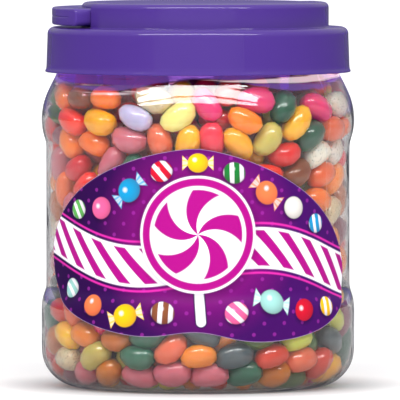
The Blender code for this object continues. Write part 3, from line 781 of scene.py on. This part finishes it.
# Across, up, turn in degrees, size, wrapper, stripes and colour.
PRINTED_SWEETS = [
    (0.000, 1.012, 0, 0.040, 1, 0, YELLOW), (-0.160, 0.975, 20, 0.044, 0, 1, SCARLET),
    (0.160, 0.968, -20, 0.044, 0, 1, LEAF), (-0.310, 0.890, 40, 0.048, 1, 0, SKY),
    (0.310, 0.880, -40, 0.048, 1, 0, APRICOT), (-0.455, 0.810, 20, 0.046, 0, 0, PINK),
    (0.450, 0.812, -20, 0.046, 0, 0, CREAM), (-0.595, 0.800, 10, 0.040, 0, 1, GREEN),
    (0.585, 0.740, -10, 0.040, 0, 1, SKY), (-0.150, 0.360, -25, 0.046, 0, 1, COCOA),
    (0.165, 0.360, 25, 0.046, 0, 1, PINK), (-0.320, 0.345, 15, 0.048, 1, 0, YELLOW),
    (0.330, 0.405, -15, 0.050, 1, 0, MINT), (-0.490, 0.385, -20, 0.044, 0, 0, APRICOT),
    (0.495, 0.365, 20, 0.046, 0, 0, SCARLET), (-0.640, 0.455, 25, 0.040, 0, 1, MINT),
    (0.640, 0.375, -20, 0.040, 0, 1, YELLOW),
]
for across, up, turn, size, wrapper, striped, colour in PRINTED_SWEETS:
    x, y = turned_axes(film, PRINT_X, PRINT_Y, (across, up), turn)
    print_colour = add_node(film, "ShaderNodeGroup", {
        "Across": x,
        "Up": y,
        "Size": size * SWEET_SCALE,
        "Wrapper": wrapper,
        "Stripes": striped,
        "Sweet": colour,
        "Under": print_colour,
    }, node_tree=sweet).outputs["Colour"]

# The film is cut through at its rim, which shows as a thin pale line.
rim_mask = add_node(film, "ShaderNodeAttribute", attribute_name="rim").outputs["Fac"]
rim_mask = maths(film, "MULTIPLY", rim_mask, 0.7)
film_grain = noise(film, object_place(film), 1400.0)
set_inputs(film, film_shader, {
    "Base Color": blend_colour(film, rim_mask, print_colour, srgb(205, 175, 215)),
    "Roughness": maths(film, "MULTIPLY_ADD", film_grain, 0.12, 0.34),
    "Specular IOR Level": 0.14,
})
label_piece = mesh_object("wrap_label", label_form, label_film, 60)
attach(label_piece, "jar")
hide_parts("label")


# The jelly beans: boiled sweets of set jelly in a thin polished sugar shell, poured in loose and
# settled against the wall. Some kinds are plain, some are flecked. The ones in the middle
# of the heap can't be seen, and a reddish core stands for them.
BEAN_LENGTH, BEAN_WIDTH, BEAN_THICKNESS, BEAN_BEND = 0.0174, 0.0115, 0.0108, 0.0010
BALL_OFFSETS = np.array([-1.0, 0.0, 1.0])
BALL_REACH, BALL_RADII = 0.0034, np.array([0.0050, 0.0054, 0.0050])
BEAN_COUNT = 1110
HEAP_EDGE, HEAP_MIDDLE, HEAP_RADIUS, HEAP_GAP = 0.1295, 0.1500, 0.066, 0.0001
BASE_POINTS = 46
# For the packing: two beans are looked at as a pair up to PAIR_REACH apart. A step sinks a
# bean by SINK at first, and moves a ball by no more than LONGEST_PUSH. SINK_UNTIL and
# FREE_FROM, when the pinned beans come free, are shares of all the steps.
PAIR_REACH = 0.0218
SINK, SINK_UNTIL, FREE_FROM = 0.0001, 0.72, 0.94
PUSH_SOFTNESS, LONGEST_PUSH = 0.62, 0.002
heap_wall = jar_inside[jar_inside[:, 1] > CORNER_RADIUS]


def base_height(far):
    """The height of the base's inside at a distance from the jar's middle."""
    return np.interp(far, *jar_inside[:BASE_POINTS].T)


def keep_in_jar(ball, radius, slack):
    """Moves the balls that reach through the wall, the corner, the floor or the heap's top."""
    far = np.maximum(np.hypot(ball[:, 0], ball[:, 1]), 1e-9)
    limit = np.interp(ball[:, 2], heap_wall[:, 1], heap_wall[:, 0]) - HEAP_GAP - radius
    in_by = np.minimum(far, limit)
    corner_in, corner_up = in_by - CORNER_RUN, ball[:, 2] - CORNER_RADIUS
    at_corner = (corner_in > 0) & (corner_up < 0)
    corner_far = np.maximum(np.hypot(corner_in, corner_up), 1e-9)
    room_left = np.minimum(1.0, (CORNER_RADIUS - JAR_WALL - HEAP_GAP - radius) / corner_far)
    in_by = np.where(at_corner, CORNER_RUN + corner_in * room_left, in_by)
    ball[:, 2] = np.where(at_corner, CORNER_RADIUS + corner_up * room_left, ball[:, 2])
    ball[:, :2] *= (in_by / far)[:, None]
    floor_height = base_height(in_by) + HEAP_GAP + radius
    ball[:, 2] = np.where(at_corner, ball[:, 2], np.maximum(ball[:, 2], floor_height))
    out_share = np.minimum(in_by, HEAP_RADIUS) / HEAP_RADIUS
    top = HEAP_MIDDLE - (HEAP_MIDDLE - HEAP_EDGE) * out_share ** 3
    ball[:, 2] = np.minimum(ball[:, 2], top + slack - radius)
    return ball


def settle_beans(centre, axis, size, pinned, slack, steps=380):
    """Packs the beans. Each counts as three balls in a row, and the balls push each other
    apart while the beans sink and grow to their full size. The pinned ones come free last."""
    count = 3 * len(centre)
    for step in range(steps):
        share = step / steps
        grow = min(1.0, 0.6 + 0.8 * share)
        reach = BALL_REACH * size * grow
        radius = (BALL_RADII[None] * size[:, None] * grow).reshape(-1)
        ball = centre[:, None] + axis[:, None] * (BALL_OFFSETS[None] * reach[:, None])[:, :, None]
        ball = ball.reshape(-1, 3)
        if step % 8 == 0:
            apart = ((centre[:, None] - centre[None]) ** 2).sum(2)
            i, j = np.nonzero(np.triu(apart < PAIR_REACH**2, 1))
            first = (3 * i[:, None] + np.repeat(np.arange(3), 3)[None]).reshape(-1)
            second = (3 * j[:, None] + np.tile(np.arange(3), 3)[None]).reshape(-1)
            held = np.repeat(pinned, 3) & (share < FREE_FROM)
            mine = np.where(held[first], 0.0, np.where(held[second], 1.0, 0.5))
            theirs = np.where(held[second], 0.0, np.where(held[first], 1.0, 0.5))
        between = ball[first] - ball[second]
        distance = np.sqrt(np.einsum("ij,ij->i", between, between)) + 1e-9
        overlap = radius[first] + radius[second] - distance
        hit = overlap > 0
        one, other = first[hit], second[hit]
        push = between[hit] * (overlap[hit] / distance[hit])[:, None]
        hits = np.bincount(one, minlength=count) + np.bincount(other, minlength=count)
        move = []
        for k in range(3):
            forth = np.bincount(one, push[:, k] * mine[hit], count)
            move.append(forth - np.bincount(other, push[:, k] * theirs[hit], count))
        move = np.stack(move, axis=1) / (PUSH_SOFTNESS * np.maximum(hits, 1))[:, None]
        ball += np.clip(move, -LONGEST_PUSH, LONGEST_PUSH)
        ball[:, 2] -= SINK * max(0.0, 1 - share / SINK_UNTIL)
        ball = keep_in_jar(ball, radius, np.repeat(slack, 3)).reshape(-1, 3, 3)
        new_axis = ball[:, 2] - ball[:, 0]
        new_axis /= np.linalg.norm(new_axis, axis=1)[:, None]
        stays = (pinned & (share < FREE_FROM))[:, None]
        centre = np.where(stays, centre, ball.mean(axis=1))
        axis = np.where(stays, axis, new_axis)
    return centre, axis


# The beans that lie against the front wall, in rows from the shoulder down to the base. A row
# has its height in millimetres, the turns of its first and last bean from the middle of the
# front in degrees, and its beans from left to right: the kind, and the tilt in degrees.
FRONT_ROWS = [
    (125, -70, -42, [("peach", -40), ("brown", 50), ("orange", -15)]),
    (123, -18, 24, [("beige", -5), ("rose", 10), ("rose", 5)]),
    (121, 36, 74, [("forest", 25), ("rose", 0), ("pearl", 10)]),
    (117, -62, -6, [("coral", -12), ("amber", -27), ("lavender", -2), ("lemon", 37)]),
    (116, 19, 69, [("peach", -3), ("amber", 32), ("orange", 20)]),
    (108, -64, -4, [("peach", -62), ("peach", -18), ("mauve", -5), ("salmon", 88), ("gold", 85)]),
    (108, 6, 30, [("coral", 88), ("gold", 88), ("khaki", 55)]),
    (103, 38, 74, [("red", 40), ("pearl", 15), ("pearl", 60)]),
    (98, -78, -38, [("mauve", 85), ("red", -20), ("mauve", 50)]),
    (94, 30, 74, [("red", 20), ("brown", 40), ("orange", 10), ("peach", 88)]),
    (87, -70, -54, [("orange", 88), ("coral", 30)]),
    (82, 58, 82, [("orange", -10), ("tan", 80)]),
    (78, -80, -62, [("tan", 85), ("mauve", 80)]),
    (68, -80, 82, [("pearl", 88), ("plum", 80)]),
    (55, -80, 82, [("mauve", 88), ("peach", 85)]),
    (44, -80, 82, [("slate", 86), ("slate", 75)]),
    (33, -80, -58, [("teal", 70), ("brick", -10), ("salmon", -40)]),
    (30, 53, 80, [("brick", 30), ("lime", -58), ("plum", 60)]),
    (20, -77, -20, [("tan", 42), ("amber", -78), ("apricot", -30), ("tan", 20), ("teal", -10)]),
    (20, 2, 84, [("slate", 0), ("olive", -4), ("lime", 70), ("slate", -5), ("teal", 85)]),
    (11, -62, -10, [("beige", -62), ("khaki", 12), ("teal", -25), ("salmon", 88)]),
    (11, 1, 57, [("apricot", -12), ("slate", 60), ("brick", 10), ("salmon", 12), ("brick", 52)]),
    (4, -56, 36, [("mauve", 10), ("tan", 0), ("mauve", -12), ("mauve", -5), ("mauve", 5),
                  ("teal", 10), ("tan", 60)]),
]
# Each kind: its colour, how strongly it is flecked, and its share high and low in the heap. The low
# shares lean to the darker, duller kinds, a painted shade for the dimmer light low in the jar.
BEAN_KINDS = {
    "peach": ((250, 150, 100), 0.0, 7, 4),
    "orange": ((240, 112, 42), 0.0, 10, 5),
    "coral": ((236, 106, 108), 0.0, 7, 2),
    "red": ((212, 46, 52), 0.0, 9, 5),
    "amber": ((250, 180, 10), 0.0, 6, 4),
    "gold": ((240, 164, 50), 0.0, 4, 3),
    "lemon": ((240, 230, 156), 0.0, 4, 3),
    "khaki": ((196, 180, 112), 0.2, 3, 5),
    "forest": ((30, 76, 54), 0.2, 3, 5),
    "teal": ((54, 98, 78), 0.3, 1, 5),
    "brick": ((198, 68, 60), 0.0, 2, 4),
    "olive": ((82, 104, 54), 0.0, 2, 3),
    "lavender": ((186, 180, 206), 0.0, 4, 3),
    "mauve": ((200, 124, 134), 0.0, 6, 6),
    "beige": ((214, 196, 166), 0.8, 4, 5),
    "brown": ((124, 66, 44), 0.0, 4, 3),
    "slate": ((66, 76, 80), 0.3, 2, 6),
    "plum": ((128, 66, 84), 0.0, 3, 5),
    "salmon": ((222, 132, 110), 0.0, 5, 6),
    "apricot": ((228, 140, 82), 0.0, 1, 4),
    "tan": ((194, 118, 60), 0.3, 3, 6),
    "rose": ((230, 102, 134), 0.0, 5, 3),
    "pearl": ((232, 222, 210), 0.7, 4, 4),
    "lime": ((202, 204, 106), 0.0, 3, 4),
}
# A front bean's middle stands BEAN_STAND in from the wall. Beans in the heap's hidden middle
# are packed but not made, and only the TOP_KINDS lie above TOP_FROM.
BEAN_STAND = 0.0051
HIDDEN_RADIUS, HIDDEN_FOOT, HIDDEN_TOP = 0.041, 0.019, 0.112
TOP_KINDS, TOP_FROM = ("coral", "rose", "red", "salmon", "plum"), 0.130
rng = np.random.default_rng(41)
centres, axes, kinds = [], [], []
for height, first_turn, last_turn, row in FRONT_ROWS:
    tilts = np.radians([tilt for _, tilt in row])
    widths = np.abs(np.cos(tilts)) * BEAN_LENGTH + np.abs(np.sin(tilts)) * BEAN_WIDTH
    share = np.concatenate([[0.0], np.cumsum(widths[1:] + widths[:-1])])
    turns = np.radians(first_turn + (last_turn - first_turn) * share / share[-1])
    stand = np.interp(height / 1000, heap_wall[:, 1], heap_wall[:, 0]) - BEAN_STAND
    for (kind, _), tilt, turn in zip(row, tilts, turns):
        outward = Vector((math.sin(turn), -math.cos(turn), 0.0))
        along = Vector((math.cos(turn), math.sin(turn), 0.0))
        lean = math.radians(rng.uniform(0, 20))
        flat = math.cos(tilt) * along + math.sin(tilt) * Vector((0.0, 0.0, 1.0))
        seen_higher = stand * math.cos(turn) * math.tan(view_rise)
        centres.append((*(stand * outward)[:2], height / 1000 + seen_higher))
        axes.append(tuple(math.cos(lean) * flat + math.sin(lean) * outward))
        kinds.append(kind)
front_count = len(centres)
loose_count = BEAN_COUNT - front_count
far = 0.060 * np.sqrt(rng.uniform(0, 1, loose_count))
turn = rng.uniform(0, math.tau, loose_count)
loose_height = rng.uniform(0.009, 0.138, loose_count)
loose = np.stack([far * np.cos(turn), far * np.sin(turn), loose_height], axis=1)
loose_axes = rng.normal(size=(loose_count, 3)) * (1.0, 1.0, 0.75)
loose_axes /= np.linalg.norm(loose_axes, axis=1)[:, None]
bean_size = rng.uniform(0.95, 1.05, BEAN_COUNT)
bean_centre, bean_axis = settle_beans(
    np.concatenate([np.array(centres), loose]),
    np.concatenate([np.array(axes), loose_axes]),
    bean_size,
    np.arange(BEAN_COUNT) < front_count,
    rng.uniform(-0.0025, 0.0015, BEAN_COUNT),
)
high = np.clip((bean_centre[:, 2] - 0.03) / 0.07, 0, 1)
kind_names = list(BEAN_KINDS)
high_share = np.array([BEAN_KINDS[k][2] for k in kind_names], float)
low_share = np.array([BEAN_KINDS[k][3] for k in kind_names], float)
top_share = np.array([k in TOP_KINDS for k in kind_names], float)
for number in range(front_count, BEAN_COUNT):
    share = high[number] * high_share + (1 - high[number]) * low_share
    share = top_share if bean_centre[number, 2] > TOP_FROM else share
    kinds.append(kind_names[rng.choice(len(kind_names), p=share / share.sum())])
bean_roll = rng.uniform(-0.7, 0.7, BEAN_COUNT) + math.pi * rng.integers(0, 2, BEAN_COUNT)
bean_tint = rng.uniform(-1, 1, BEAN_COUNT)
bean_far = np.hypot(bean_centre[:, 0], bean_centre[:, 1])
bean_high = bean_centre[:, 2]
bean_seen = (bean_far > HIDDEN_RADIUS) | (bean_high > HIDDEN_TOP) | (bean_high < HIDDEN_FOOT)


def bean_tree():
    """The node tree that shapes one bean and sets a copy on every point of its mesh."""
    tree = bpy.data.node_groups.new("jelly_bean_copies", "GeometryNodeTree")
    tree.interface.new_socket("Points", in_out="INPUT", socket_type="NodeSocketGeometry")
    for label, value in (
        ("Length", BEAN_LENGTH), ("Width", BEAN_WIDTH), ("Thickness", BEAN_THICKNESS),
        ("Bend", BEAN_BEND), ("Fat end", 0.05), ("Bluntness", 0.16),
    ):
        socket = tree.interface.new_socket(label, in_out="INPUT", socket_type=FLOAT)
        socket.default_value = value
    tree.interface.new_socket("Shell", in_out="INPUT", socket_type="NodeSocketMaterial")
    tree.interface.new_socket("Beans", in_out="OUTPUT", socket_type="NodeSocketGeometry")
    given = tree.nodes.new("NodeGroupInput").outputs
    cube = add_node(tree, "GeometryNodeMeshCube", {"Vertices " + axis: 4 for axis in "XYZ"})
    sides = split(tree, add_node(tree, "GeometryNodeInputPosition").outputs[0])
    quarters = [maths(tree, "MULTIPLY", side, math.pi / 2) for side in sides]
    evened = {k: maths(tree, "TANGENT", quarter) for k, quarter in enumerate(quarters)}
    ball = {0: add_node(tree, "ShaderNodeCombineXYZ", evened).outputs[0]}
    ball_place = add_node(tree, "ShaderNodeVectorMath", ball, operation="NORMALIZE").outputs[0]
    x, y, z = split(tree, ball_place)
    far = maths(tree, "MAXIMUM", length_of(tree, x, y), 0.02)
    blunt = maths(tree, "POWER", far, maths(tree, "MULTIPLY", given["Bluntness"], -1.0))
    girth = maths(tree, "MULTIPLY", blunt, maths(tree, "MULTIPLY_ADD", z, given["Fat end"], 1.0))
    half_width, half_thick, half_length = (
        maths(tree, "MULTIPLY", given[size], 0.5) for size in ("Width", "Thickness", "Length")
    )
    bend = maths(tree, "MULTIPLY", given["Bend"], maths(tree, "MULTIPLY_ADD", z, z, -0.4))
    wide = maths(tree, "MULTIPLY", maths(tree, "MULTIPLY", x, girth), half_width)
    shaped = add_node(tree, "ShaderNodeCombineXYZ", {
        "X": maths(tree, "ADD", wide, bend),
        "Y": maths(tree, "MULTIPLY", maths(tree, "MULTIPLY", y, girth), half_thick),
        "Z": maths(tree, "MULTIPLY", z, half_length),
    })
    bean = {"Geometry": cube.outputs["Mesh"], "Position": shaped.outputs[0]}
    bean = {"Geometry": add_node(tree, "GeometryNodeSetPosition", bean).outputs[0]}
    smooth = add_node(tree, "GeometryNodeSetShadeSmooth", bean)
    turn, grow = (
        add_node(tree, "GeometryNodeInputNamedAttribute", {"Name": name}, data_type=kind)
        for name, kind in (("turn", "FLOAT_VECTOR"), ("grow", "FLOAT"))
    )
    rotation = add_node(tree, "FunctionNodeEulerToRotation", {0: turn.outputs["Attribute"]})
    copies = add_node(tree, "GeometryNodeInstanceOnPoints", {
        "Points": given["Points"],
        "Instance": smooth.outputs[0],
        "Rotation": rotation.outputs[0],
        "Scale": grow.outputs["Attribute"],
    })
    real = add_node(tree, "GeometryNodeRealizeInstances", {0: copies.outputs[0]})
    finish = {"Geometry": real.outputs[0], "Material": given["Shell"]}
    finish = add_node(tree, "GeometryNodeSetMaterial", finish)
    add_node(tree, "NodeGroupOutput", {0: finish.outputs[0]})
    return tree


def cells(tree, place, scale):
    """How far a place is from the middle of its cell, in a pattern of uneven cells."""
    inputs = {"Vector": place, "Scale": scale}
    return add_node(tree, "ShaderNodeTexVoronoi", inputs).outputs["Distance"]
sugar, sugar_in, sugar_out = finish_group(
    "sugar_shell",
    [("Colour", COLOUR, None), ("Fleck colour", COLOUR, None), ("Flecks", FLOAT, 0.0)],
    [("Colour", COLOUR, None), ("Roughness", FLOAT, None), ("Height", FLOAT, None)],
)
sugar_place = object_place(sugar)
sugar_tint = add_node(sugar, "ShaderNodeAttribute", attribute_name="tint").outputs["Fac"]
sugar_cloud = noise(sugar, sugar_place, 160.0, 3.0)
sugar_grit = noise(sugar, sugar_place, 900.0)
sugar_value = maths(sugar, "MULTIPLY_ADD", sugar_tint, 0.08, 0.90)
sugar_unevenness = maths(sugar, "SUBTRACT", sugar_cloud, 0.5)
sugar_shade = add_node(sugar, "ShaderNodeHueSaturation", {
    "Hue": maths(sugar, "MULTIPLY_ADD", sugar_tint, 0.008, 0.5),
    "Saturation": 1.19,
    "Value": maths(sugar, "MULTIPLY_ADD", sugar_unevenness, 0.35, sugar_value),
    "Color": sugar_in.outputs["Colour"],
}).outputs["Color"]
fleck_mask = inside_of(sugar, cells(sugar, sugar_place, 900.0), 0.26, 0.08)
fleck_mask = maths(sugar, "MULTIPLY", fleck_mask, sugar_in.outputs["Flecks"])
set_inputs(sugar, sugar_out, {
    "Colour": blend_colour(sugar, fleck_mask, sugar_shade, sugar_in.outputs["Fleck colour"]),
    "Roughness": maths(sugar, "MULTIPLY_ADD", sugar_cloud, 0.22, 0.24),
    "Height": maths(sugar, "MULTIPLY_ADD", sugar_grit, 0.12, sugar_cloud),
})


def bean_shell(kind, colour, flecks):
    """One kind's shell: a thin clear polish over a colour that lets light some way in."""
    made, tree, shader = new_material("jelly_bean_" + kind)
    shades = {"Colour": srgb(*colour), "Fleck colour": srgb(*(0.42 * c for c in colour))}
    finish = add_node(tree, "ShaderNodeGroup", {**shades, "Flecks": flecks}, node_tree=sugar)
    set_inputs(tree, shader, {
        "Base Color": finish.outputs["Colour"],
        "Roughness": finish.outputs["Roughness"],
        "Normal": bump(tree, finish.outputs["Height"], 0.25, 0.0006),
        "Specular IOR Level": 0.15,
        "Subsurface Weight": 0.85,
        "Subsurface Radius": (1.0, 0.5, 0.35),
        "Subsurface Scale": 0.0045,
        "Coat Weight": 1.0,
        "Coat Roughness": 0.10,
    })
    return made


def bean_turn(number):
    """The turn that lays one bean along its axis, rolled by its own amount."""
    lengthwise = Vector(bean_axis[number])
    outward = Vector((bean_centre[number][0], bean_centre[number][1], 0.0)).normalized()
    sideways = lengthwise.cross(outward).normalized()
    sideways.rotate(Matrix.Rotation(bean_roll[number], 3, lengthwise))
    third = lengthwise.cross(sideways)
    return Matrix((sideways, third, lengthwise)).transposed().to_euler()


def press_inside(mesh):
    """Draws in the points of the beans that would reach through the wall or the base."""
    points = np.empty(3 * len(mesh.vertices), np.float32)
    mesh.vertices.foreach_get("co", points)
    points = points.reshape(-1, 3)
    far = np.hypot(points[:, 0], points[:, 1])
    limit = np.interp(points[:, 2], bean_wall[:, 1], bean_wall[:, 0]) - HEAP_GAP
    points[:, :2] *= np.minimum(1.0, limit / np.maximum(far, 1e-9))[:, None]
    points[:, 2] = np.maximum(points[:, 2], base_height(far) + HEAP_GAP)
    mesh.vertices.foreach_set("co", points.reshape(-1))
    mesh.update()


bean_copies = bean_tree()
bean_sockets = {item.name: item.identifier for item in bean_copies.interface.items_tree}
bean_wall = np.array([(r, z) for r, z in jar_inside if z > CORNER_RADIUS or r > CORNER_RUN])
for kind, (colour, flecks, _, _) in BEAN_KINDS.items():
    mine = [n for n in range(BEAN_COUNT) if kinds[n] == kind and bean_seen[n]]
    spots = bpy.data.meshes.new("beans_" + kind)
    spots.from_pydata([tuple(bean_centre[n]) for n in mine], [], [])
    turns = [angle for n in mine for angle in bean_turn(n)]
    spots.attributes.new("turn", "FLOAT_VECTOR", "POINT").data.foreach_set("vector", turns)
    spots.attributes.new("grow", "FLOAT", "POINT").data.foreach_set("value", bean_size[mine])
    spots.attributes.new("tint", "FLOAT", "POINT").data.foreach_set("value", bean_tint[mine])
    beans = bpy.data.objects.new("beans_" + kind, spots)
    room.collection.objects.link(beans)
    copier = beans.modifiers.new("copies", "NODES")
    copier.node_group = bean_copies
    copier[bean_sockets["Shell"]] = bean_shell(kind, colour, flecks)
    copier[bean_sockets["Length"]] = BEAN_LENGTH
    copied = beans.evaluated_get(bpy.context.evaluated_depsgraph_get())
    made = bpy.data.meshes.new_from_object(copied)
    beans.modifiers.remove(copier)
    press_inside(made)
    beans.data = made
    bpy.data.meshes.remove(spots)
    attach(beans, "jar")
    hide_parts("jelly_beans")

# The core is painted darker towards the edge of each lump, a painted shade between the lumps. It
# also glows with a warm painted glow that stands in for light carried through the beans.
core_paint, core_tree, core_shader = new_material("heap_core")
core_lumps_and_shade = cells(core_tree, object_place(core_tree), 85.0)
set_inputs(core_tree, core_shader, {
    "Base Color": blend_colour(core_tree, core_lumps_and_shade, srgb(186, 92, 58), srgb(120, 44, 34)),
    "Roughness": 0.6,
    "Normal": bump(core_tree, core_lumps_and_shade, 1.0, 0.004, invert=True),
    "Emission Color": srgb(214, 84, 56),
    "Emission Strength": 0.45,
})
core_side = [(0.0, 0.019), (0.040, 0.019), (0.046, 0.024), (0.047, 0.060), (0.046, 0.106)]
core_side += [(0.040, 0.114), (0.0, 0.116)]
core_turns = list(np.linspace(0, math.tau, 48, endpoint=False))
heap_core = lathe_mesh("heap_core", core_side, core_turns, core_paint, closed=False)
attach(heap_core, "jar")
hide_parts("jelly_beans")
